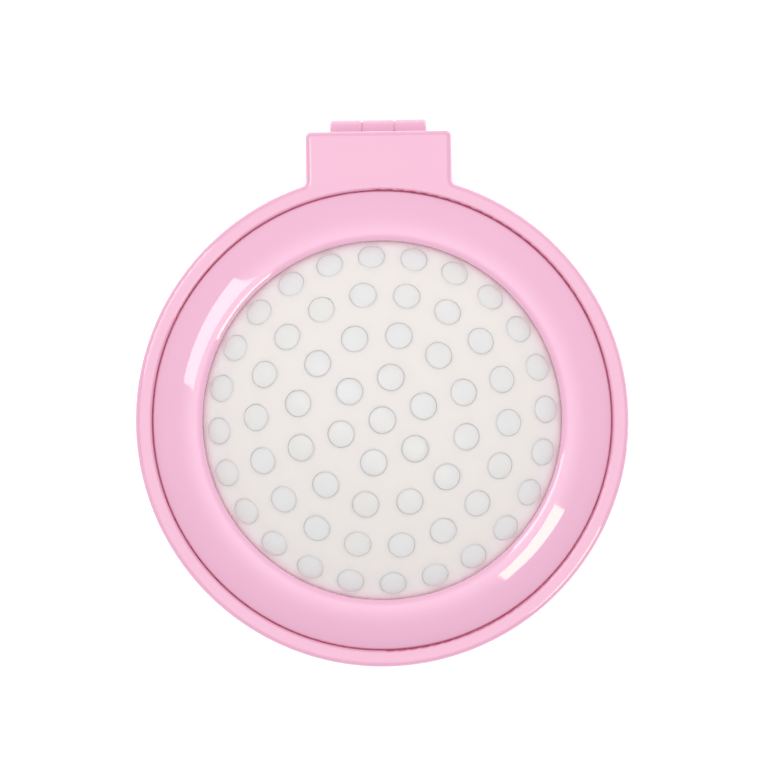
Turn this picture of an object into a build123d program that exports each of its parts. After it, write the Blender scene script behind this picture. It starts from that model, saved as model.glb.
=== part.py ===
"""Folding compact hairbrush: a round mirror half and a round brush half on one hinge.

The brush half carries a domed rubber pad. Sixty-one headed pins are pushed through the pad
from outside, so the pad shows their round heads while the pins point into the closed case.
Turning the pad inside out brings the pins out of the open side.

Frame: +Z is the way the pad bulges, +Y points to the hinge, and the origin is the centre of
the flat back face that the closed compact rests on. Millimetres throughout.
"""

import os
from math import asin, cos, degrees, radians, sin, sqrt

from build123d import *

# Cases
CASE_R = 35.2  # outer radius of both halves
WALL = 2.2  # moulded wall thickness
MIRROR_DEPTH = 11.0  # height of the mirror half, up to the parting plane
PARTING_GAP = 0.15  # open line between the two halves when closed
RIM_TOP = 20.0  # front face of the brush half's rim
BACK_ROUND = 3.0  # rounding round the back face
RIM_ROUND = 0.75  # rounding outside the rim's front face and round the tab's faces
SEAT_ROUND = 0.45  # rounding inside the rim's front face, beside the bezel
EDGE_BREAK = 0.25  # small rounding on moulded edges

# Hinge
TAB_HALF_WIDTH = 10.4  # half the width of the hinge tab
TAB_END_Y = 41.25  # end face of the hinge tab
TAB_ROUND = 0.8  # rounding down the tab's corners
HINGE_Y = 41.4  # hinge axis, just past the tab ends so that they meet when open
KNUCKLE_R = 2.3
KNUCKLE_LENGTH = 4.63
KNUCKLE_GAP = 0.05  # between the ends of neighbouring knuckles
KNUCKLE_ROUND = 0.35
HINGE_END_ROUND = 0.5  # at the two outer ends of the row of knuckles
POCKET_CLEARANCE = 0.25  # round a knuckle, in the other half's tab
HINGE_PIN_R = 0.75
HINGE_PIN_LENGTH = 13.0
HINGE_PIN_CLEARANCE = 0.05  # radial, in the centre knuckle

# Rubber pad
PAD_EDGE_R = 25.55  # where the dome comes out from under the bezel
PAD_SPHERE_R = 45.0  # outer radius of the dome's sphere
PAD_EDGE_Z = 20.4  # level of the dome's edge, the plane that it inverts about
PAD_THICKNESS = 1.2
PAD_FLANGE_R = 29.7

# Pins
RINGS = (6, 12, 18, 24)  # pins in each ring round the centre pin
RING_ANGLE = 7.8  # degrees of the pad's sphere from one ring to the next
PIN_PHASE = 18.0  # degrees from +X to the first pin of every ring
HEAD_R = 1.87
HEAD_THICKNESS = 1.2
HEAD_SOCKET_R = 1.92
SHANK_R = 0.6
SHANK_CLEARANCE = 0.02
TIP_R = 1.0
PIN_LENGTH = 13.5  # from the top of the head to the end of the tip
BOSS_R = 2.6
BOSS_DEPTH = 2.6  # from the pad's outer face to the end of the boss inside

# Bezel, which holds the pad, and its clamp ring
BEZEL_R = 32.7
BEZEL_GAP = 0.12  # open line between the bezel and the rim
BEZEL_CREST_R = 26.65
BEZEL_CREST_Z = 21.8
BEZEL_ROLL_R = 2.1  # radius of the roll from the crest down to the tighter lip
BEZEL_ROLL_ANGLE = 24.0  # degrees that the roll turns through
BEZEL_EDGE_Z = 19.7  # top of the bezel's outer edge
LEDGE_TOP = 18.7  # the case ledge that the bezel sits on
LEDGE_THICKNESS = 1.5
LEDGE_R = 31.0
SKIRT_R = 30.9
SKIRT_WALL = 1.0
SKIRT_BOTTOM = 15.9
HOOK_COUNT = 6
HOOK_ANGLE = 12.0  # degrees of the skirt that each snap hook takes
HOOK_REACH = 0.6
CLAMP_R = 26.0  # inner radius of the clamp ring
CLAMP_BOTTOM = 17.3
FIT = 0.05  # clearance between parts that only touch

# Mirror and its tray
TRAY_FLOOR_Z = 4.0
TRAY_FLOOR = 1.2
TRAY_R = 29.3  # inner radius of the tray's wall
TRAY_WALL = 1.2
LIP_R = 32.65  # locating lip that enters the brush half
LIP_TOP = 12.2
TAPE_R = 27.0
TAPE_THICKNESS = 0.8
MIRROR_R = 29.0
MIRROR_THICKNESS = 1.8
MIRROR_BEVEL = 0.5
NOTCH_WIDTH = 14.0  # finger notch opposite the hinge
NOTCH_DEPTH = 1.2

HINGE_LENGTH = 3 * KNUCKLE_LENGTH + 2 * KNUCKLE_GAP
PAD_SPHERE_Z = PAD_EDGE_Z - sqrt(PAD_SPHERE_R**2 - PAD_EDGE_R**2)  # centre of the sphere
BRUSH_BOTTOM = MIRROR_DEPTH + PARTING_GAP


def revolved(*edges, angle=360):
    """A solid of revolution about Z from the closed outline that these edges make in XZ."""
    return revolve(make_face(Plane.XZ * Wire(edges)), Axis.Z, angle)


def outline(points):
    """Straight edges through points, as a list that can be mixed with arcs."""
    return [Line(a, b) for a, b in zip(points, points[1:])]


def ring(inner, outer, bottom, top):
    """A plain ring about Z."""
    height = top - bottom
    body = Cylinder(outer, height) - Cylinder(inner, height)
    return Pos(0, 0, bottom + height / 2) * body


def tab_block(bottom, top):
    """The block that joins a round case to the hinge, with rounded upright corners."""
    length = TAB_END_Y
    block = Pos(0, length / 2, (bottom + top) / 2) * Box(2 * TAB_HALF_WIDTH, length, top - bottom)
    ends = block.edges().filter_by(Axis.Z).sort_by(Axis.Y)[-2:]
    return fillet(ends, TAB_ROUND)


def is_inner_corner(edge):
    """Whether an upright edge is where the tab's side meets the round case."""
    x, y, _ = edge.center()
    return abs(abs(x) - TAB_HALF_WIDTH) < FIT and abs(x**2 + y**2 - CASE_R**2) < 1


def knuckle(x, radius, length):
    """A barrel on the hinge axis, centred at x."""
    return Pos(x, HINGE_Y, MIRROR_DEPTH) * Rot(0, 90, 0) * Cylinder(radius, length)


def rounded_knuckle(x):
    """A hinge barrel with its end edges rounded, and the hinge's own two ends more so."""
    barrel = knuckle(x, KNUCKLE_R, KNUCKLE_LENGTH)
    barrel = fillet(barrel.edges().filter_by(GeomType.CIRCLE), KNUCKLE_ROUND)
    whole = knuckle(0, KNUCKLE_R, HINGE_LENGTH)
    return barrel & fillet(whole.edges().filter_by(GeomType.CIRCLE), HINGE_END_ROUND)


def knuckle_pocket(x):
    """Room for the other half's knuckle at x, all round it."""
    return knuckle(x, KNUCKLE_R + POCKET_CLEARANCE, KNUCKLE_LENGTH + 2 * KNUCKLE_GAP)


def outer_knuckle_places():
    pitch = KNUCKLE_LENGTH + KNUCKLE_GAP
    return (-pitch, pitch)


def mirror_case():
    """Back shell of the mirror half, with its tab, centre knuckle and finger notch."""
    disc = Pos(0, 0, MIRROR_DEPTH / 2) * Cylinder(CASE_R, MIRROR_DEPTH)
    disc = fillet(disc.edges().filter_by(GeomType.CIRCLE).sort_by(Axis.Z)[0], BACK_ROUND)
    tab = tab_block(0, MIRROR_DEPTH)
    tab = fillet(tab.faces().sort_by(Axis.Z)[0].edges(), RIM_ROUND)
    body = disc + tab
    body = body - Pos(0, 0, WALL + MIRROR_DEPTH / 2) * Cylinder(CASE_R - WALL, MIRROR_DEPTH)
    for x in outer_knuckle_places():
        body -= knuckle_pocket(x)
    body += rounded_knuckle(0)
    body -= knuckle(0, HINGE_PIN_R + HINGE_PIN_CLEARANCE, KNUCKLE_LENGTH)
    notch_r = (NOTCH_WIDTH**2 / 4 + NOTCH_DEPTH**2) / (2 * NOTCH_DEPTH)
    notch = Pos(0, -CASE_R, MIRROR_DEPTH + notch_r - NOTCH_DEPTH) * Rot(90, 0, 0)
    return body - notch * Cylinder(notch_r, 2 * NOTCH_DEPTH)


def mirror_tray():
    """Inner pan of the mirror half: it holds the mirror and stands up as the locating lip."""
    case_inner = CASE_R - WALL - FIT
    pan_outer = TRAY_R + TRAY_WALL
    shelf_top = MIRROR_DEPTH - EDGE_BREAK
    points = [
        (0, TRAY_FLOOR_Z),
        (pan_outer, TRAY_FLOOR_Z),
        (pan_outer, MIRROR_DEPTH - 2 * TRAY_WALL),
        (case_inner, MIRROR_DEPTH - 2 * TRAY_WALL),
        (case_inner, shelf_top),
        (LIP_R, shelf_top),
        (LIP_R, LIP_TOP - 2 * EDGE_BREAK),
        (LIP_R - 2 * EDGE_BREAK, LIP_TOP),
        (LIP_R - TRAY_WALL, LIP_TOP),
        (TRAY_R, MIRROR_DEPTH - TRAY_WALL),
        (TRAY_R, TRAY_FLOOR_Z + TRAY_FLOOR),
        (0, TRAY_FLOOR_Z + TRAY_FLOOR),
        (0, TRAY_FLOOR_Z),
    ]
    return revolved(*outline(points))


def mirror_tape():
    """Double-sided foam disc under the mirror."""
    bottom = TRAY_FLOOR_Z + TRAY_FLOOR
    return Pos(0, 0, bottom + TAPE_THICKNESS / 2) * Cylinder(TAPE_R, TAPE_THICKNESS)


def mirror_glass():
    """Round mirror with a ground bevel."""
    bottom = TRAY_FLOOR_Z + TRAY_FLOOR + TAPE_THICKNESS
    glass = Pos(0, 0, bottom + MIRROR_THICKNESS / 2) * Cylinder(MIRROR_R, MIRROR_THICKNESS)
    top_edge = glass.edges().filter_by(GeomType.CIRCLE).sort_by(Axis.Z)[-1]
    return chamfer(top_edge, MIRROR_BEVEL / 2, MIRROR_BEVEL * 2)


def hinge_pin():
    """Steel pin through the three knuckles."""
    pin = knuckle(0, HINGE_PIN_R, HINGE_PIN_LENGTH)
    return chamfer(pin.edges().filter_by(GeomType.CIRCLE), EDGE_BREAK / 2)


def brush_case():
    """Ring-shaped shell of the brush half, with its tab, outer knuckles and bezel ledge."""
    height = RIM_TOP - BRUSH_BOTTOM
    disc = Pos(0, 0, BRUSH_BOTTOM + height / 2) * Cylinder(CASE_R, height)
    body = disc + tab_block(BRUSH_BOTTOM, RIM_TOP)
    inner_corners = body.edges().filter_by(Axis.Z).filter_by(is_inner_corner)
    body = fillet(inner_corners, TAB_ROUND)
    body = fillet(body.faces().sort_by(Axis.Z)[-1].edges(), RIM_ROUND)
    seat_r = BEZEL_R + BEZEL_GAP
    seat_height = RIM_TOP - LEDGE_TOP + 1
    body -= Pos(0, 0, LEDGE_TOP + seat_height / 2) * Cylinder(seat_r, seat_height)
    body -= Pos(0, 0, RIM_TOP / 2) * Cylinder(LEDGE_R, 2 * RIM_TOP)
    ledge_bottom = LEDGE_TOP - LEDGE_THICKNESS
    body -= Pos(0, 0, ledge_bottom / 2) * Cylinder(CASE_R - WALL, ledge_bottom)
    rim_edges = body.edges().filter_by(GeomType.CIRCLE).group_by(Axis.Z)[-1]
    body = fillet([e for e in rim_edges if abs(e.radius - seat_r) < FIT], SEAT_ROUND)
    body -= knuckle_pocket(0)
    for x in outer_knuckle_places():
        body += rounded_knuckle(x)
    # The pin's bore stops inside the left knuckle and runs out of the right one.
    past_end = 2 * EDGE_BREAK
    return body - knuckle(past_end, HINGE_PIN_R, HINGE_PIN_LENGTH + 2 * past_end)


def bezel_ring():
    """Glossy ring that crowns the brush half and grips the pad's flange, with snap hooks."""
    lip_bottom = PAD_EDGE_Z + FIT
    crest = (BEZEL_CREST_R, BEZEL_CREST_Z)
    turn = radians(BEZEL_ROLL_ANGLE)
    roll_end = (
        BEZEL_CREST_R - BEZEL_ROLL_R * sin(turn),
        BEZEL_CREST_Z - BEZEL_ROLL_R * (1 - cos(turn)),
    )
    lip_round = (roll_end[0] - PAD_EDGE_R) / (1 - sin(turn))
    lip_top = (PAD_EDGE_R, roll_end[1] - lip_round * cos(turn))
    outer_top = (BEZEL_R, BEZEL_EDGE_Z)
    skirt_inner = SKIRT_R - SKIRT_WALL
    points = [
        outer_top,
        (BEZEL_R, LEDGE_TOP + FIT),
        (SKIRT_R, LEDGE_TOP + FIT),
        (SKIRT_R, SKIRT_BOTTOM),
        (skirt_inner, SKIRT_BOTTOM),
        (skirt_inner, lip_bottom),
        (PAD_EDGE_R, lip_bottom),
        lip_top,
    ]
    lip = TangentArc(lip_top, roll_end, tangent=(0, 1))
    roll = TangentArc(roll_end, crest, tangent=(cos(turn), sin(turn)))
    crown = TangentArc(crest, outer_top, tangent=(1, 0))
    body = revolved(*outline(points), lip, roll, crown)
    hook_top = LEDGE_TOP - LEDGE_THICKNESS - FIT
    root_r = SKIRT_R - SKIRT_WALL / 2
    hook_points = [
        (root_r, SKIRT_BOTTOM),
        (SKIRT_R, SKIRT_BOTTOM),
        (SKIRT_R + HOOK_REACH, hook_top),
        (root_r, hook_top),
        (root_r, SKIRT_BOTTOM),
    ]
    hook = revolved(*outline(hook_points), angle=HOOK_ANGLE)
    for i in range(HOOK_COUNT):
        body += Rot(0, 0, 360 * i / HOOK_COUNT - HOOK_ANGLE / 2) * hook
    return body


def clamp_ring():
    """Flat ring pressed into the bezel's skirt, under the pad's flange."""
    return ring(CLAMP_R, SKIRT_R - SKIRT_WALL, CLAMP_BOTTOM, PAD_EDGE_Z - PAD_THICKNESS - FIT)


def ring_tilt(k):
    """Angle between the axis and the pad's normal at ring k, in degrees. Ring 0 is the centre."""
    return RING_ANGLE * k


def pin_place(k, azimuth):
    """Location on the pad's outer face at ring k, with +Z along the outward normal."""
    on_sphere = Pos(0, 0, PAD_SPHERE_Z) * Rot(0, 0, azimuth) * Rot(0, ring_tilt(k), 0)
    return on_sphere * Pos(0, 0, PAD_SPHERE_R)


def pin_groups():
    """Node name to [(ring, azimuth, azimuth of the group's middle)]: one node a pin, except in
    the outer ring, whose pins go in pairs."""
    groups = {"pin_centre": [(0, 0.0, 0.0)]}
    for k, count in enumerate(RINGS, start=1):
        step = 360 / count
        size = 2 if k == len(RINGS) else 1
        kind = "pin_pair" if size == 2 else "pin"
        for i in range(count // size):
            azimuths = [PIN_PHASE + step * (size * i + j) for j in range(size)]
            middle = sum(azimuths) / size
            groups[f"{kind}_ring{k}_{i + 1:02d}"] = [(k, a, middle) for a in azimuths]
    return groups


def stem_place(k, azimuth, middle):
    """Location in the middle of a pin's head, with -Z along its shank. The two shanks of a pair
    are parallel seen from the pad's axis, as the pair turns about one axis when the pad inverts."""
    off_middle = radians(azimuth - middle)
    lean = degrees(asin(sin(radians(ring_tilt(k))) * sin(off_middle)))
    return pin_place(k, azimuth) * Pos(0, 0, -HEAD_THICKNESS / 2) * Rot(lean, 0, 0)


def pin(k, azimuth, middle):
    """One pin: a flat head that shows outside the pad, a shank and a ball tip."""
    head = Pos(0, 0, -HEAD_THICKNESS / 2) * Cylinder(HEAD_R, HEAD_THICKNESS)
    head = fillet(head.edges().filter_by(GeomType.CIRCLE).sort_by(Axis.Z)[-1], EDGE_BREAK / 2)
    reach = PIN_LENGTH - TIP_R - HEAD_THICKNESS / 2
    stem = Pos(0, 0, -reach / 2) * Cylinder(SHANK_R, reach) + Pos(0, 0, -reach) * Sphere(TIP_R)
    return pin_place(k, azimuth) * head + stem_place(k, azimuth, middle) * stem


def pad():
    """Rubber pad: a domed sheet with a flange, and a socketed boss for every pin."""
    inner_r = PAD_SPHERE_R - PAD_THICKNESS
    flange_bottom = PAD_EDGE_Z - PAD_THICKNESS
    inner_edge = sqrt(inner_r**2 - (flange_bottom - PAD_SPHERE_Z) ** 2)
    half_way = asin(PAD_EDGE_R / PAD_SPHERE_R) / 2

    def on_arc(radius, angle):
        return (radius * sin(angle), PAD_SPHERE_Z + radius * cos(angle))

    outer_end, inner_end = (PAD_EDGE_R, PAD_EDGE_Z), (inner_edge, flange_bottom)
    outer_top, inner_top = on_arc(PAD_SPHERE_R, 0), on_arc(inner_r, 0)
    dome = ThreePointArc(outer_top, on_arc(PAD_SPHERE_R, half_way), outer_end)
    under = ThreePointArc(inner_end, on_arc(inner_r, half_way), inner_top)
    flange = outline(
        [outer_end, (PAD_FLANGE_R, PAD_EDGE_Z), (PAD_FLANGE_R, flange_bottom), inner_end]
    )
    body = revolved(dome, *flange, under, Line(inner_top, outer_top))
    boss_start = PAD_THICKNESS / 2
    boss_length = BOSS_DEPTH - boss_start
    boss = Pos(0, 0, -boss_start - boss_length / 2) * Cylinder(BOSS_R, boss_length)
    socket_depth = HEAD_THICKNESS + SHANK_CLEARANCE
    socket = Pos(0, 0, -socket_depth / 2 + 1) * Cylinder(HEAD_SOCKET_R, socket_depth + 2)
    hole = Cylinder(SHANK_R + SHANK_CLEARANCE, 4 * BOSS_DEPTH)
    pins = [place for group in pin_groups().values() for place in group]
    body = body + [pin_place(k, azimuth) * boss for k, azimuth, _ in pins]
    body = body - [pin_place(k, azimuth) * socket for k, azimuth, _ in pins]
    return body - [stem_place(*place) * hole for place in pins]


def build():
    """Node name to shape."""
    nodes = {
        "mirror_case": mirror_case(),
        "mirror_tray": mirror_tray(),
        "mirror_tape": mirror_tape(),
        "mirror_glass": mirror_glass(),
        "hinge_pin": hinge_pin(),
        "brush_case": brush_case(),
        "bezel_ring": bezel_ring(),
        "clamp_ring": clamp_ring(),
        "rubber_pad": pad(),
    }
    for name, group in pin_groups().items():
        nodes[name] = Compound(children=[pin(*place) for place in group])
    return nodes


def main():
    os.makedirs("parts", exist_ok=True)
    for name, shape in build().items():
        export_step(shape, f"parts/{name}.step")


if __name__ == "__main__":
    main()
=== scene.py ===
"""Looks of the folding compact hairbrush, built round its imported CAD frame. Metres throughout."""

import math
import random

import bmesh
import bpy
from mathutils import Matrix, Vector
from mathutils.geometry import delaunay_2d_cdt


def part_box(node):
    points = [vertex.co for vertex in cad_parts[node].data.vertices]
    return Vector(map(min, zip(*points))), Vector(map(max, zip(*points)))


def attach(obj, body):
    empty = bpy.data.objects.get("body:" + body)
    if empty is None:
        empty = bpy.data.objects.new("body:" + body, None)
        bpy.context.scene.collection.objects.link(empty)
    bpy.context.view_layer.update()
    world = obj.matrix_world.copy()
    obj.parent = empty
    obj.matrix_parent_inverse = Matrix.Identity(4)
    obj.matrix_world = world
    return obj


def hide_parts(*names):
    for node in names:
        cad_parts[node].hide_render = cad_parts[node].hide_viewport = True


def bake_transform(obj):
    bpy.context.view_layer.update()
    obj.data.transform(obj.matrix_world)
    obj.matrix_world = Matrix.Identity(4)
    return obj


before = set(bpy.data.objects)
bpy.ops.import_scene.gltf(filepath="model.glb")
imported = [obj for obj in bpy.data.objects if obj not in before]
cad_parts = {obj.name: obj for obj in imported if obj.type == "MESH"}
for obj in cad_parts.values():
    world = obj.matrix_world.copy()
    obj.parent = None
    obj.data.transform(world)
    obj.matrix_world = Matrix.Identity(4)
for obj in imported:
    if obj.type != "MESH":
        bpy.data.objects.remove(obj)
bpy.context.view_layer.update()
MM = 0.001
FULL_TURN = 2 * math.pi
QUARTER_TURN = math.pi / 2

# The pad, with the design's own driving sizes.
PAD_EDGE_R = 25.55 * MM
PAD_EDGE_Z = 20.4 * MM
PAD_SPHERE_R = 45 * MM
PAD_SPHERE_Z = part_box("pin_centre")[1].z - PAD_SPHERE_R
PAD_THICKNESS = 1.2 * MM
PAD_FLANGE_R = 29.7 * MM
SOCKET_R = 1.885 * MM
SOCKET_LIP = 0.08 * MM  # rounding of a socket's mouth
SOCKET_DEPTH = 0.28 * MM
MESH_PITCH = 0.62 * MM  # between the points of the dome's skin
SOCKET_CLEARANCE = 0.6 * MM  # between those points and a socket
FINE_BAND = 0.35 * MM  # width of the finer band of skin round a socket and inside the dome's edge

# The brush pins.
RINGS = (6, 12, 18, 24)
RING_ANGLE = math.radians(7.8)
PIN_PHASE = math.radians(18)
PIN_LENGTH = 13.5 * MM
HEAD_R = 1.87 * MM
HEAD_THICKNESS = 0.55 * MM
HEAD_CROWN = 0.16 * MM  # how far a head bulges
HEAD_EDGE = 0.14 * MM  # rounding of a head's edge
HEAD_SINK = 0.02 * MM  # how far a head's edge sits under the dome
HEAD_SINK_MORE = 0.05 * MM  # the most that a head is pushed in past that
HEAD_TIP_ANGLE = math.radians(1.6)  # the most that a head is tipped
SHANK_TOP = 0.6 * MM  # how far under the dome a shank starts
SHANK_R = 0.6 * MM
NECK_R = 0.5 * MM  # of the shank, where it meets the ball tip
TIP_R = 1.0 * MM

# The rubber collars round the shanks: from how far under the dome to how far, and how wide.
BOSS_START, BOSS_END = -0.9 * MM, -2.6 * MM
BOSS_ROOT_R, BOSS_TIP_R = 2.3 * MM, 1.4 * MM
BOSS_ROUND = 0.3 * MM

# The rim's roundings.
CASE_R = 35.2 * MM
RIM_TOP = 20 * MM
RIM_ROUND = 0.75 * MM
RIM_EASE = 0.35  # how gently the outer rounding comes out of the flat face
SEAT_ROUND = 0.45 * MM
ON_ROUND = 0.02 * MM  # how near a point has to be to count as on a rounding
FLAT = 0.001 * MM  # a face that rises less than this is level
BEZEL_GAP = 0.12 * MM

# The bezel: its crown, and the roll from its crest to its lip.
BEZEL_R = 32.7 * MM
BEZEL_CREST_R, BEZEL_CREST_Z = 26.65 * MM, 21.8 * MM
BEZEL_EDGE_Z = 19.7 * MM
BEZEL_EDGE_ROUND = 0.22 * MM
BEZEL_ROLL_R = 2.1 * MM
BEZEL_ROLL_ANGLE = math.radians(24)
LIP_BOTTOM = PAD_EDGE_Z + 0.05 * MM
LIP_ROUND = 0.15 * MM
LEDGE_Z = 18.75 * MM
SKIRT_R = 30.9 * MM
SKIRT_WALL = 1.0 * MM
SKIRT_BOTTOM = 15.9 * MM
HOOK_TOP = 17.15 * MM
HOOK_REACH = 0.6 * MM
HOOK_FACE = 0.15 * MM  # height of a hook's upright edge
HOOK_COUNT = 6
HOOK_ANGLE = math.radians(12)

# Linear colours.
BEZEL_LIGHT = (0.885, 0.48, 0.668, 1)
BEZEL_DEEP = (0.875, 0.46, 0.648, 1)
PINK_LIGHT = (0.845, 0.432, 0.612, 1)
PINK_DEEP = (0.835, 0.414, 0.594, 1)
PINK_SHADE = (0.83, 0.41, 0.585, 1)
# painted shade: the deep red laid into the plastic's crevices
PINK_PAINTED_SHADE = (0.84, 0.05, 0.22, 1)
RUBBER_WARM = (0.895, 0.825, 0.785, 1)
RUBBER_COOL = (0.88, 0.825, 0.805, 1)
# painted light: the paler colour inside the dome's edge
RUBBER_PAINTED_LIGHT = (0.97, 0.93, 0.93, 1)
NYLON_COOL = (0.81, 0.808, 0.822, 1)
NYLON_WARM = (0.822, 0.802, 0.79, 1)
NYLON_LIGHT = (0.872, 0.868, 0.87, 1)
SILVER_DEEP = (0.90, 0.92, 0.93, 1)
SILVER_LIGHT = (0.95, 0.96, 0.96, 1)
STEEL_DEEP = (0.50, 0.50, 0.52, 1)
STEEL_LIGHT = (0.68, 0.68, 0.70, 1)
FOAM_DEEP = (0.80, 0.80, 0.78, 1)
FOAM_LIGHT = (0.92, 0.92, 0.90, 1)
PAPER_DEEP = (0.93, 0.93, 0.93, 1)
PAPER_LIGHT = (0.95, 0.95, 0.95, 1)
WHITE = (1, 1, 1, 1)
LEFT_LIGHT = (1, 1, 0.9, 1)
RIGHT_LIGHT = (1, 1, 0.62, 1)
PAINTED_SHADE_REACH = 0.8 * MM  # how near a wall has to be for the painted crevice shade
PAINTED_LIGHT_BAND = 3 * MM  # width of the band of painted light inside the dome's edge

# The camera looks straight down on the disc. The lens shift keeps the hinge tab in the frame.
CAMERA_DISTANCE = 0.45
SENSOR_WIDTH = 36
VIEW_WIDTH_AT_RIM = 109.07 * MM
TURN = math.radians(0.8)  # how far the object is turned in the frame
AIM = Vector((0.035 * MM, 0, RIM_TOP))
FRAME_SHIFT = 5.37 * MM / VIEW_WIDTH_AT_RIM

# How finely the meshes are cut: points round a circle, then rings across the pad's inner skin.
SOCKET_POINTS = 40
PAD_EDGE_POINTS = 240
PAD_INNER_RINGS = 40
HEAD_SEGMENTS = 48
STEM_SEGMENTS = 24
BOSS_SEGMENTS = 40
BEZEL_SEGMENTS = 256
FLOOR_SEGMENTS = 64

# The light. A softbox's corners are (radius in mm, azimuth in degrees) on the bezel's crown.
LEFT_CORNERS = [(29.2, 135.5), (27.05, 130.5), (27.15, 170.8), (28.75, 168.3)]
LEFT_RADIANCE = 4.8
RIGHT_CORNERS = [(27.2, -26.5), (28.95, -27.0), (28.7, -53.3), (27.5, -54)]
RIGHT_RADIANCE = 6.4
SOFTBOX_Z = 0.62
HORIZON_LIGHT = 0.84
ZENITH_LIGHT = 2.3
OVERHEAD_FOCUS = 14.0  # how narrow the overhead light is
HINGE_SIDE_LIGHT = 0.2  # how much brighter the room is towards the hinge
FLOOR_GLOW = 0.36
FLOOR_DROP = 0.05 * MM  # keeps the floor clear of the back face

random.seed(7)


# ---------------------------------------------------------------- node helpers


class Nodes:
    """Short spelling for building a material's node tree."""

    def __init__(self, name):
        self.material = bpy.data.materials.new(name)
        self.material.use_nodes = True
        self.tree = self.material.node_tree
        self.shader = self.tree.nodes["Principled BSDF"]

    def add(self, kind, inputs=None, **settings):
        node = self.tree.nodes.new(kind)
        for key, value in settings.items():
            setattr(node, key, value)
        for key, value in (inputs or {}).items():
            self.feed(node, key, value)
        return node

    def feed(self, node, key, value):
        """Sets an input to a value, or links it when the value is an output socket."""
        if isinstance(value, bpy.types.NodeSocket):
            self.tree.links.new(value, node.inputs[key])
        else:
            node.inputs[key].default_value = value

    def position(self):
        return self.add("ShaderNodeTexCoord").outputs["Object"]

    def stretched(self, scale):
        """The position with a scale of its own along each axis."""
        inputs = {"Vector": self.position(), "Scale": scale}
        return self.add("ShaderNodeMapping", inputs).outputs["Vector"]

    def noise(self, scale, detail=3.0, vector=None):
        inputs = {
            "Vector": vector or self.position(),
            "Scale": scale,
            "Detail": detail,
            "Roughness": 0.55,
        }
        return self.add("ShaderNodeTexNoise", inputs).outputs["Fac"]

    def cells(self, scale):
        """Distance to the middle of the nearest of a scatter of cells."""
        inputs = {"Vector": self.position(), "Scale": scale}
        return self.add("ShaderNodeTexVoronoi", inputs).outputs["Distance"]

    def ramp(self, value, stops):
        """A float remapped through (position, grey) stops."""
        node = self.add("ShaderNodeValToRGB", {"Fac": value})
        elements = node.color_ramp.elements
        while len(elements) < len(stops):
            elements.new(0.5)
        for element, (place, grey) in zip(elements, stops):
            element.position = place
            element.color = (grey, grey, grey, 1)
        return node.outputs["Color"]

    def spread(self, value, low, high):
        """A 0 to 1 value stretched to run from low to high."""
        inputs = {"Value": value, "To Min": low, "To Max": high}
        return self.add("ShaderNodeMapRange", inputs).outputs["Result"]

    def mix(self, factor, a, b):
        node = self.add("ShaderNodeMix", data_type="RGBA")
        self.feed(node, 0, factor)
        self.feed(node, 6, a)
        self.feed(node, 7, b)
        return node.outputs[2]

    def bump(self, height, strength, distance, normal=None):
        inputs = {"Height": height, "Strength": strength, "Distance": distance}
        if normal is not None:
            inputs["Normal"] = normal
        return self.add("ShaderNodeBump", inputs).outputs["Normal"]

    def set(self, **inputs):
        for key, value in inputs.items():
            self.feed(self.shader, key.replace("_", " "), value)
        return self.material


# ---------------------------------------------------------------- materials


def painted_crevice_shade(n, colour):
    """Painted shade: the plastic is coloured deeper and redder in its crevices, standing in for the
    shade there and the light passed from wall to wall.
    """
    depth = n.add("ShaderNodeAmbientOcclusion", {"Distance": PAINTED_SHADE_REACH}, samples=8)
    openness = n.ramp(depth.outputs["AO"], [(0.15, 0), (0.8, 1)])
    return n.mix(openness, PINK_PAINTED_SHADE, colour)


def pink_gloss(name, light, deep):
    """Glossy lacquered plastic, evenly coloured, with faint flow marks, hairline scratches and
    painted shade in its crevices.
    """
    n = Nodes(name)
    cloud = n.noise(45, 3)
    fine = n.noise(900, 2)
    scratch = n.ramp(n.noise(1.0, 2, n.stretched((260, 6000, 900))), [(0.66, 0), (0.78, 1)])
    colour = n.mix(n.spread(cloud, 0.0, 1.0), deep, light)
    roughness = n.add("ShaderNodeMath", operation="ADD")
    n.feed(roughness, 0, n.spread(cloud, 0.03, 0.05))
    n.feed(roughness, 1, n.spread(scratch, 0.0, 0.06))
    waves = n.bump(cloud, 0.03, 0.2 * MM)
    skin = n.bump(fine, 0.02, 0.02 * MM, waves)
    return n.set(
        Base_Color=painted_crevice_shade(n, colour),
        Roughness=roughness.outputs[0],
        Normal=skin,
        IOR=1.5,
        Coat_Weight=1.0,
        Coat_Roughness=0.02,
        Subsurface_Weight=0.12,
        Subsurface_Radius=(1.0, 0.5, 0.6),
        Subsurface_Scale=1.2 * MM,
    )


def pink_satin():
    """The same plastic with a spark-eroded satin skin, for the inside."""
    n = Nodes("pink_satin_plastic")
    cloud = n.noise(60, 3)
    grain = n.cells(5200.0)
    return n.set(
        Base_Color=n.mix(cloud, PINK_SHADE, PINK_DEEP),
        Roughness=n.spread(grain, 0.34, 0.5),
        Normal=n.bump(grain, 0.12, 0.03 * MM),
        Subsurface_Weight=0.1,
        Subsurface_Radius=(1.0, 0.5, 0.6),
        Subsurface_Scale=1.0 * MM,
    )


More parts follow.
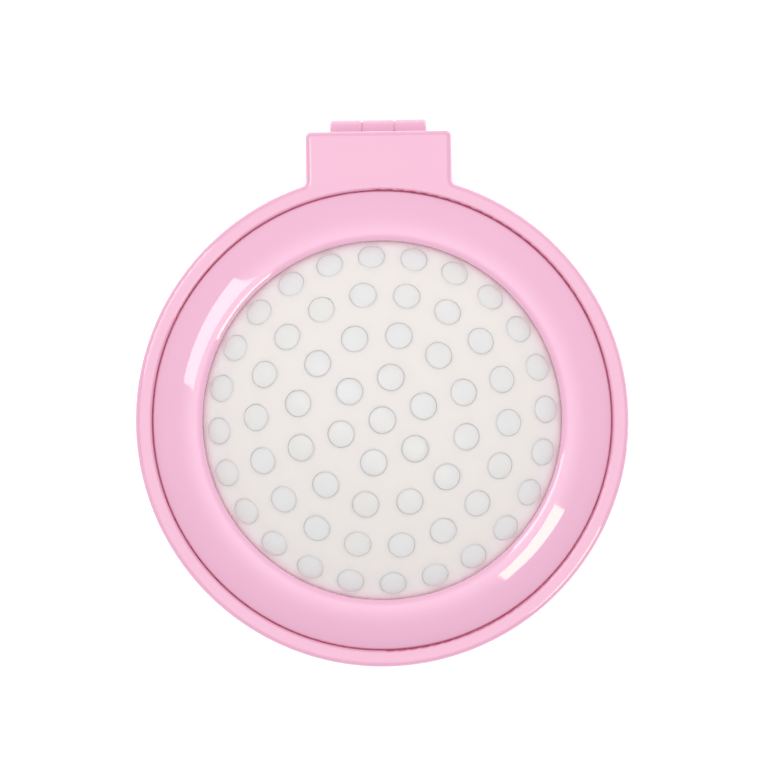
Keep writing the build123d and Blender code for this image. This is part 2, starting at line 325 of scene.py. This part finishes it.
def pad_rubber():
    """Soft white rubber, slightly warm, with a dusty skin. It has painted light towards the dome's
    edge, which makes it paler there.
    """
    n = Nodes("white_rubber")
    cloud = n.noise(80, 4)
    speck = n.noise(2600, 3)
    colour = n.mix(n.spread(cloud, 0.1, 0.9), RUBBER_WARM, RUBBER_COOL)
    height = n.bump(cloud, 0.08, 0.15 * MM)
    inputs = {0: n.position(), 1: (1, 1, 0)}
    flat = n.add("ShaderNodeVectorMath", inputs, operation="MULTIPLY").outputs[0]
    outward = n.add("ShaderNodeVectorMath", {0: flat}, operation="LENGTH").outputs["Value"]
    inputs = {"Value": outward, "From Min": PAD_EDGE_R - PAINTED_LIGHT_BAND, "From Max": PAD_EDGE_R}
    painted_light = n.add("ShaderNodeMapRange", inputs).outputs["Result"]
    return n.set(
        Base_Color=n.mix(painted_light, colour, RUBBER_PAINTED_LIGHT),
        Roughness=n.spread(speck, 0.46, 0.62),
        Normal=n.bump(speck, 0.1, 0.015 * MM, height),
        Sheen_Weight=0.08,
        Subsurface_Weight=0.5,
        Subsurface_Radius=(1.0, 0.95, 0.9),
        Subsurface_Scale=2.0 * MM,
    )


def pin_nylon():
    """Milky nylon. Every pin is a shade apart from its neighbours."""
    n = Nodes("milky_nylon")
    shade = n.add("ShaderNodeObjectInfo").outputs["Random"]
    cloud = n.noise(500, 3)
    colour = n.mix(shade, NYLON_COOL, NYLON_WARM)
    return n.set(
        Base_Color=n.mix(n.spread(cloud, 0.0, 0.25), colour, NYLON_LIGHT),
        Roughness=n.spread(cloud, 0.3, 0.42),
        Normal=n.bump(cloud, 0.05, 0.05 * MM),
        Subsurface_Weight=0.5,
        Subsurface_Radius=(0.9, 0.95, 1.0),
        Subsurface_Scale=1.2 * MM,
    )


def mirror_silver():
    """Silvered glass with the faintest wiping marks."""
    n = Nodes("mirror_silver")
    smear = n.noise(70, 5)
    return n.set(
        Base_Color=n.mix(smear, SILVER_DEEP, SILVER_LIGHT),
        Metallic=1.0,
        Roughness=n.spread(smear, 0.01, 0.05),
    )


def drawn_steel():
    """Drawn steel wire, with its lines running along the pin."""
    n = Nodes("drawn_steel")
    lines = n.noise(1.0, 3, n.stretched((80, 9000, 9000)))
    return n.set(
        Base_Color=n.mix(lines, STEEL_DEEP, STEEL_LIGHT),
        Metallic=1.0,
        Roughness=n.spread(lines, 0.2, 0.38),
        Normal=n.bump(lines, 0.2, 0.01 * MM),
    )


def foam():
    """White closed-cell foam tape."""
    n = Nodes("white_foam")
    cells = n.cells(2600.0)
    return n.set(
        Base_Color=n.mix(cells, FOAM_DEEP, FOAM_LIGHT),
        Roughness=0.85,
        Normal=n.bump(cells, 0.4, 0.1 * MM),
    )


def floor_paper():
    """Plain white studio paper."""
    n = Nodes("studio_paper")
    cloud = n.noise(9, 3)
    fibre = n.noise(800, 2)
    return n.set(
        Base_Color=n.mix(cloud, PAPER_DEEP, PAPER_LIGHT),
        Roughness=0.9,
        Normal=n.bump(fibre, 0.1, 0.05 * MM),
        Emission_Color=WHITE,
        Emission_Strength=FLOOR_GLOW,
    )


# ---------------------------------------------------------------- mesh helpers


def mesh_object(name, bm, material, sharp_from=None):
    """A finished bmesh as a smooth object of the scene, with sharp edges past an angle in degrees."""
    bmesh.ops.recalc_face_normals(bm, faces=bm.faces)
    mesh = bpy.data.meshes.new(name)
    bm.to_mesh(mesh)
    bm.free()
    mesh.shade_smooth()
    mesh.materials.append(material)
    obj = bpy.data.objects.new(name, mesh)
    bpy.context.scene.collection.objects.link(obj)
    if sharp_from is not None:
        mesh.set_sharp_from_angle(angle=math.radians(sharp_from))
    return obj


def arc(centre, radius, start, end, steps):
    """Points on an arc in (radius, height), from angle start to angle end."""
    turns = [start + (end - start) * i / steps for i in range(steps + 1)]
    return [(centre[0] + radius * math.cos(t), centre[1] + radius * math.sin(t)) for t in turns]


def circle(radius, height, steps):
    """Points round the Z axis."""
    turns = [FULL_TURN * i / steps for i in range(steps)]
    return [Vector((radius * math.cos(t), radius * math.sin(t), height)) for t in turns]


def bridge(bm, lower, upper):
    """Faces between two closed loops of vertices. A loop of one vertex closes the end."""
    count = max(len(lower), len(upper))
    for i in range(count):
        j = (i + 1) % count
        below = (lower[i % len(lower)], lower[j % len(lower)])
        above = (upper[j % len(upper)], upper[i % len(upper)])
        bm.faces.new(list(dict.fromkeys(below + above)))


def lathe(bm, profile, segments, place=Matrix.Identity(4)):
    """Turns a profile of (radius, height) points about Z. Points on the axis close the ends."""
    loops = []
    for radius, height in profile:
        on_axis = radius < 1e-9
        points = circle(radius, height, 1 if on_axis else segments)
        loops.append([bm.verts.new(place @ p) for p in points])
    for lower, upper in zip(loops, loops[1:]):
        bridge(bm, lower, upper)
    return loops


# ---------------------------------------------------------------- pins and pad


def ring_tilt(k):
    return RING_ANGLE * k


def pin_place(k, azimuth):
    """Frame on the pad's outer face at ring k, with +Z along the outward normal."""
    tilt = Matrix.Rotation(azimuth, 4, "Z") @ Matrix.Rotation(ring_tilt(k), 4, "Y")
    return Matrix.Translation((0, 0, PAD_SPHERE_Z)) @ tilt @ Matrix.Translation((0, 0, PAD_SPHERE_R))


def pin_groups():
    """CAD body name to [(ring, azimuth, azimuth of the group's middle)]."""
    groups = {"pin_centre": [(0, 0.0, 0.0)]}
    for k, count in enumerate(RINGS, start=1):
        step = FULL_TURN / count
        size = 2 if k == len(RINGS) else 1
        kind = "pin_pair" if size == 2 else "pin"
        for i in range(count // size):
            azimuths = [PIN_PHASE + step * (size * i + j) for j in range(size)]
            middle = sum(azimuths) / size
            groups[f"{kind}_ring{k}_{i + 1:02d}"] = [(k, a, middle) for a in azimuths]
    return groups


def stem_place(k, azimuth, middle):
    """Frame in the middle of a pin's head, with -Z along its shank."""
    lean = math.asin(math.sin(ring_tilt(k)) * math.sin(azimuth - middle))
    start = Matrix.Translation((0, 0, -SHANK_TOP))
    return pin_place(k, azimuth) @ start @ Matrix.Rotation(lean, 4, "X")


def head_profile():
    """(radius, height) down a pin's slightly crowned head."""
    points = [(HEAD_R * f, HEAD_CROWN * (1 - f**2) - HEAD_SINK) for f in (0, 0.25, 0.5, 0.7, 0.85)]
    points += arc((HEAD_R - HEAD_EDGE, -HEAD_SINK - HEAD_EDGE), HEAD_EDGE, QUARTER_TURN, 0, 6)
    points += [(HEAD_R, -HEAD_THICKNESS), (HEAD_R * 0.6, -HEAD_THICKNESS), (0, -HEAD_THICKNESS)]
    return points


def stem_profile():
    """(radius, height) down a shank, from inside the head to the ball tip."""
    length = PIN_LENGTH - SHANK_TOP - TIP_R
    neck = math.asin(NECK_R / TIP_R)
    points = [(0, 0), (SHANK_R * 1.5, 0), (SHANK_R * 1.5, -0.5 * MM), (SHANK_R * 1.1, -1.6 * MM)]
    points += [(SHANK_R, -3 * MM), (SHANK_R * 0.9, -length * 0.6), (NECK_R, -length + 1.6 * MM)]
    ball = arc((0, -length), TIP_R, QUARTER_TURN - neck, -QUARTER_TURN, 14)
    return points + ball[:-1] + [(0, -length - TIP_R)]


def seated(place):
    """A head's frame, a hair off centre in its socket, sunk and tipped, as a pushed-in pin sits."""
    turn = Matrix.Rotation(random.uniform(0, FULL_TURN), 4, "Z")
    aside = random.uniform(0, SOCKET_R - HEAD_R)
    sunk = random.uniform(0, HEAD_SINK_MORE)
    shift = Matrix.Translation((aside, 0, -sunk))
    tip = Matrix.Rotation(random.uniform(-HEAD_TIP_ANGLE, HEAD_TIP_ANGLE), 4, "X")
    return place @ turn @ shift @ tip


def make_pins(material):
    """The brush pins, each in place of its CAD body."""
    for body, group in pin_groups().items():
        bm = bmesh.new()
        for k, azimuth, middle in group:
            lathe(bm, head_profile(), HEAD_SEGMENTS, seated(pin_place(k, azimuth)))
            lathe(bm, stem_profile(), STEM_SEGMENTS, stem_place(k, azimuth, middle))
        obj = mesh_object("nylon_" + body, bm, material)
        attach(obj, body)
        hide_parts(body)


def dome_height(radius):
    """Height of the pad's outer face above the plane that it inverts about."""
    if radius >= PAD_EDGE_R:
        return 0.0
    return PAD_SPHERE_Z + math.sqrt(PAD_SPHERE_R**2 - radius**2) - PAD_EDGE_Z


def underside_height(radius):
    """Height of the pad's inner face."""
    upright_share = math.sqrt(1 - (radius / PAD_SPHERE_R) ** 2)
    return PAD_EDGE_Z + dome_height(radius) - PAD_THICKNESS / upright_share


def dome_grid(centres):
    """Points evenly over the dome in plan, clear of its edge and of the sockets."""
    grid = []
    rows = int(2 * PAD_EDGE_R / MESH_PITCH) + 2
    for row in range(-rows, rows):
        for column in range(-rows, rows):
            across = (column + 0.5 * (row % 2)) * MESH_PITCH
            p = Vector((across, row * MESH_PITCH * math.sqrt(3) / 2))
            clear = all((p - c).length > SOCKET_R + SOCKET_CLEARANCE for c in centres)
            if p.length < PAD_EDGE_R - FINE_BAND and clear:
                grid.append(p)
    return grid


def sink_socket(bm, mouth, place):
    """A socket's rounded lip, wall and floor, inside its mouth."""
    steps = [
        (SOCKET_R + SOCKET_LIP * 0.4, -SOCKET_LIP * 0.2),
        (SOCKET_R, -SOCKET_LIP),
        (SOCKET_R, -SOCKET_DEPTH),
    ]
    for radius, depth in steps:
        inner = [bm.verts.new(place @ p) for p in circle(radius, depth, len(mouth))]
        bridge(bm, mouth, inner)
        mouth = inner
    bm.faces.new(mouth)


def make_pad(material):
    """The pad: an outer skin with a socket round every head, a flange and a plain inner skin."""
    places = [pin_place(k, a) for group in pin_groups().values() for k, a, _ in group]
    mouth_r = SOCKET_R + SOCKET_LIP
    points, edges = [], []

    def add_loop(loop):
        start = len(points)
        points.extend(p.xy for p in loop)
        edges.extend((start + i, start + (i + 1) % len(loop)) for i in range(len(loop)))
        return start

    mouths = [add_loop([place @ p for p in circle(mouth_r, 0, SOCKET_POINTS)]) for place in places]
    for place in places:
        add_loop([place @ p for p in circle(SOCKET_R + FINE_BAND, 0, SOCKET_POINTS)])
    edge_start = add_loop(circle(PAD_EDGE_R, 0, PAD_EDGE_POINTS))
    points += dome_grid([place.translation.xy for place in places])
    flat_points, _, flat_faces, *_ = delaunay_2d_cdt(points, edges, [], 0, 1e-9)

    bm = bmesh.new()
    top = [bm.verts.new((p.x, p.y, PAD_EDGE_Z + dome_height(p.length))) for p in flat_points]
    inverses = [place.inverted() for place in places]
    for face in flat_faces:
        corners = [top[i] for i in face]
        middle = sum((v.co for v in corners), Vector()) / len(corners)
        in_socket = any((i @ middle).xy.length < SOCKET_R + SOCKET_LIP * 0.98 for i in inverses)
        if middle.xy.length <= PAD_EDGE_R and not in_socket:
            bm.faces.new(corners)
    for start, place in zip(mouths, places):
        sink_socket(bm, top[start : start + SOCKET_POINTS], place)

    # The flange outside the dome, then the inner skin from the dome's edge to the axis.
    rings = [(PAD_FLANGE_R, PAD_EDGE_Z), (PAD_FLANGE_R, PAD_EDGE_Z - PAD_THICKNESS)]
    inner_radii = [PAD_EDGE_R * (1 - i / PAD_INNER_RINGS) for i in range(PAD_INNER_RINGS)]
    rings += [(r, underside_height(r)) for r in inner_radii]
    rim = top[edge_start : edge_start + PAD_EDGE_POINTS]
    for radius, height in rings:
        loop = [bm.verts.new(p) for p in circle(radius, height, PAD_EDGE_POINTS)]
        bridge(bm, rim, loop)
        rim = loop
    bridge(bm, rim, [bm.verts.new((0, 0, PAD_SPHERE_Z + PAD_SPHERE_R - PAD_THICKNESS))])

    pad = mesh_object("pad_skin", bm, material, sharp_from=40)
    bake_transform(pad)
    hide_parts("rubber_pad")


def make_bosses(material):
    """Tapered rubber collar round every shank, under the pad. Each one goes with its pin."""
    middle = (BOSS_TIP_R - BOSS_ROUND, BOSS_END + BOSS_ROUND)
    profile = [(0, BOSS_START), (BOSS_ROOT_R, BOSS_START)]
    profile += arc(middle, BOSS_ROUND, 0, -QUARTER_TURN, 5)
    profile += [(SHANK_R * 1.5, BOSS_END), (0, BOSS_END)]
    for body, group in pin_groups().items():
        bm = bmesh.new()
        for k, azimuth, _ in group:
            lathe(bm, profile, BOSS_SEGMENTS, pin_place(k, azimuth))
        obj = mesh_object("boss_" + body, bm, material, sharp_from=40)
        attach(obj, body)


# ---------------------------------------------------------------- the case


def crown_radius():
    """Radius of the bezel's crown in section, from its level crest to its outer edge."""
    run, drop = BEZEL_R - BEZEL_CREST_R, BEZEL_CREST_Z - BEZEL_EDGE_Z
    return (run**2 + drop**2) / (2 * drop)


def add_hook(bm, middle):
    """One snap hook: a wedge that stands out of the bezel's skirt."""
    root_r, tip_r = SKIRT_R - 0.1 * MM, SKIRT_R + HOOK_REACH
    section = [(root_r, SKIRT_BOTTOM), (SKIRT_R, SKIRT_BOTTOM), (tip_r, HOOK_TOP - HOOK_FACE)]
    section += [(tip_r, HOOK_TOP), (root_r, HOOK_TOP)]
    steps = 12
    loops = []
    for i in range(steps + 1):
        t = middle + HOOK_ANGLE * (i / steps - 0.5)
        loops.append([bm.verts.new((r * math.cos(t), r * math.sin(t), z)) for r, z in section])
    for a, b in zip(loops, loops[1:]):
        bridge(bm, a, b)
    bm.faces.new(loops[0])
    bm.faces.new(loops[-1])


def bezel_profile():
    """(radius, height) round the bezel's section: lip, roll, crown, outer edge, ledge and skirt."""
    turn = BEZEL_ROLL_ANGLE
    roll_end_r = BEZEL_CREST_R - BEZEL_ROLL_R * math.sin(turn)
    roll_end_z = BEZEL_CREST_Z - BEZEL_ROLL_R * (1 - math.cos(turn))
    top_round = (roll_end_r - PAD_EDGE_R) / (1 - math.sin(turn))
    top_middle = (PAD_EDGE_R + top_round, roll_end_z - top_round * math.cos(turn))
    bottom_middle = (PAD_EDGE_R + LIP_ROUND, LIP_BOTTOM + LIP_ROUND)
    roll_middle = (BEZEL_CREST_R, BEZEL_CREST_Z - BEZEL_ROLL_R)
    crown_r = crown_radius()
    crown_middle = (BEZEL_CREST_R, BEZEL_CREST_Z - crown_r)
    crown_end = QUARTER_TURN - math.asin((BEZEL_R - BEZEL_CREST_R) / crown_r)
    crown = arc(crown_middle, crown_r, QUARTER_TURN, crown_end + BEZEL_EDGE_ROUND / crown_r, 28)[1:]
    edge_z, edge_drop = crown[-1][1], BEZEL_EDGE_ROUND * 1.1
    skirt_inner = SKIRT_R - SKIRT_WALL

    profile = [(skirt_inner, LIP_BOTTOM)]
    profile += arc(bottom_middle, LIP_ROUND, -QUARTER_TURN, -math.pi, 4)
    profile += arc(top_middle, top_round, math.pi, QUARTER_TURN + turn, 12)
    profile += arc(roll_middle, BEZEL_ROLL_R, QUARTER_TURN + turn, QUARTER_TURN, 8)[1:]
    profile += crown
    profile += [(BEZEL_R - 0.05 * MM, edge_z - edge_drop * 0.55), (BEZEL_R, edge_z - edge_drop)]
    profile += [(BEZEL_R, LEDGE_Z), (SKIRT_R, LEDGE_Z)]
    profile += [(SKIRT_R, SKIRT_BOTTOM), (skirt_inner, SKIRT_BOTTOM)]
    return profile


def make_bezel(material):
    """The glossy ring round the pad, turned from the same profile as its CAD node."""
    bm = bmesh.new()
    loops = lathe(bm, bezel_profile(), BEZEL_SEGMENTS)
    bridge(bm, loops[-1], loops[0])
    for i in range(HOOK_COUNT):
        add_hook(bm, FULL_TURN * i / HOOK_COUNT)
    obj = mesh_object("bezel", bm, material, sharp_from=35)
    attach(obj, "brush_half")
    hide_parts("bezel_ring")


def dress_cad(finishes):
    """CAD nodes whose shape is right stay, with a better material."""
    for node, material in finishes.items():
        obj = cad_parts[node]
        for slot in obj.material_slots:
            slot.material = material


def even_rounds(node, rounds):
    """Even normals on a CAD node's turned roundings: each is (middle radius, middle height, radius),
    -1 for a rounding that faces the axis or 1 for one that faces out, and how gently it eases in."""
    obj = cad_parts[node]
    mesh = obj.data
    to_world = obj.matrix_world
    to_local = to_world.to_3x3().inverted()
    normals = [corner.vector.copy() for corner in mesh.corner_normals]
    spots = [to_world @ v.co for v in mesh.vertices]
    for polygon in mesh.polygons:
        corners = [spots[v] for v in polygon.vertices]
        heights = [p.z for p in corners]
        if max(heights) - min(heights) < FLAT:
            continue
        for middle_r, middle_z, radius, side, ease in rounds:
            offsets = [((p.xy.length - middle_r) * side, p.z - middle_z) for p in corners]
            misses = [abs(math.hypot(out, up) - radius) for out, up in offsets]
            if min(min(offset) for offset in offsets) < -ON_ROUND / 2 or max(misses) > ON_ROUND:
                continue
            for index, p, (out, up) in zip(polygon.loop_indices, corners, offsets):
                turned = max(math.atan2(out, up), 0) / QUARTER_TURN
                tilt = QUARTER_TURN * turned ** (1 + ease)
                outward = Vector((p.x, p.y, 0)).normalized() * side
                normal = outward * math.sin(tilt) + Vector((0, 0, math.cos(tilt)))
                normals[index] = (to_local @ normal).normalized()
    mesh.normals_split_custom_set(normals)


# ---------------------------------------------------------------- stage, light and camera


def make_camera():
    data = bpy.data.cameras.new("camera")
    data.sensor_width = SENSOR_WIDTH
    data.lens = SENSOR_WIDTH * CAMERA_DISTANCE / VIEW_WIDTH_AT_RIM
    data.shift_y = FRAME_SHIFT
    data.clip_start, data.clip_end = 0.01, 10
    camera = bpy.data.objects.new("camera", data)
    camera.location = AIM + Vector((0, 0, CAMERA_DISTANCE))
    camera.rotation_euler = (0, 0, -TURN)
    bpy.context.scene.collection.objects.link(camera)
    bpy.context.scene.camera = camera


def make_floor(material):
    bm = bmesh.new()
    lathe(bm, [(0, 0), (0.3, 0), (0.8, 0), (1.6, 0)], FLOOR_SEGMENTS)
    floor = mesh_object("floor", bm, material)
    floor.location.z = -FLOOR_DROP


def reflected_spot(radius, azimuth):
    """Where a softbox has to be for the camera to see it in the bezel's crown there."""
    crown_r = crown_radius()
    tilt = math.asin((radius - BEZEL_CREST_R) / crown_r)
    height = BEZEL_CREST_Z - crown_r * (1 - math.cos(tilt))
    outward = Vector((math.cos(azimuth), math.sin(azimuth), 0))
    spot = outward * radius + Vector((0, 0, height))
    normal = outward * math.sin(tilt) + Vector((0, 0, math.cos(tilt)))
    ray = (spot - AIM - Vector((0, 0, CAMERA_DISTANCE))).reflect(normal)
    return spot + ray * ((SOFTBOX_Z - height) / ray.z)


def softbox(name, seen_at, colour, radiance):
    """A glowing panel that shows only in reflections, placed by where its corners do so."""
    n = Nodes(name)
    glow = n.add("ShaderNodeEmission", {"Color": colour, "Strength": radiance})
    n.tree.links.new(glow.outputs[0], n.tree.nodes["Material Output"].inputs["Surface"])
    bm = bmesh.new()
    bm.faces.new([bm.verts.new(reflected_spot(r * MM, math.radians(a))) for r, a in seen_at])
    panel = mesh_object(name, bm, n.material)
    panel.visible_camera = False
    panel.visible_diffuse = False


def make_room():
    """An even white room with a broad overhead diffuser, a little brighter towards the hinge."""
    world = bpy.data.worlds.new("studio")
    world.use_nodes = True
    tree = world.node_tree

    def add(kind, *values, **settings):
        """A new node, fed with sockets and values in the order of its inputs."""
        node = tree.nodes.new(kind)
        for key, value in settings.items():
            setattr(node, key, value)
        for socket, value in zip(node.inputs, values):
            if isinstance(value, bpy.types.NodeSocket):
                tree.links.new(value, socket)
            else:
                socket.default_value = value
        return node

    direction = add("ShaderNodeTexCoord").outputs["Generated"]
    split = add("ShaderNodeSeparateXYZ", direction)
    math_node = "ShaderNodeMath"
    focus = add(math_node, split.outputs["Z"], OVERHEAD_FOCUS, operation="POWER", use_clamp=True)
    height = add("ShaderNodeMapRange", focus.outputs[0], 0, 1, HORIZON_LIGHT, ZENITH_LIGHT)
    lean = add(math_node, split.outputs["Y"], HINGE_SIDE_LIGHT, 1, operation="MULTIPLY_ADD")
    strength = add(math_node, height.outputs[0], lean.outputs[0], operation="MULTIPLY")
    background = tree.nodes["Background"]
    background.inputs["Color"].default_value = WHITE
    tree.links.new(strength.outputs[0], background.inputs["Strength"])
    bpy.context.scene.world = world


def make_lights():
    """The room and two softboxes."""
    make_room()
    softbox("softbox_left", LEFT_CORNERS, LEFT_LIGHT, LEFT_RADIANCE)
    softbox("softbox_right", RIGHT_CORNERS, RIGHT_LIGHT, RIGHT_RADIANCE)


materials = {
    "case": pink_gloss("pink_case_plastic", PINK_LIGHT, PINK_DEEP),
    "bezel": pink_gloss("pink_bezel_plastic", BEZEL_LIGHT, BEZEL_DEEP),
    "satin": pink_satin(),
    "rubber": pad_rubber(),
    "nylon": pin_nylon(),
    "mirror": mirror_silver(),
    "steel": drawn_steel(),
    "foam": foam(),
    "paper": floor_paper(),
}
make_pins(materials["nylon"])
make_pad(materials["rubber"])
make_bosses(materials["rubber"])
make_bezel(materials["bezel"])
dress_cad(
    {
        "mirror_case": materials["case"],
        "brush_case": materials["case"],
        "mirror_tray": materials["satin"],
        "clamp_ring": materials["satin"],
        "mirror_glass": materials["mirror"],
        "mirror_tape": materials["foam"],
        "hinge_pin": materials["steel"],
    }
)
seat_r = BEZEL_R + BEZEL_GAP + SEAT_ROUND
even_rounds(
    "brush_case",
    [
        (CASE_R - RIM_ROUND, RIM_TOP - RIM_ROUND, RIM_ROUND, 1, RIM_EASE),
        (seat_r, RIM_TOP - SEAT_ROUND, SEAT_ROUND, -1, 0),
    ],
)
make_floor(materials["paper"])
make_lights()
make_camera()
bpy.context.scene.view_settings.view_transform = "Standard"
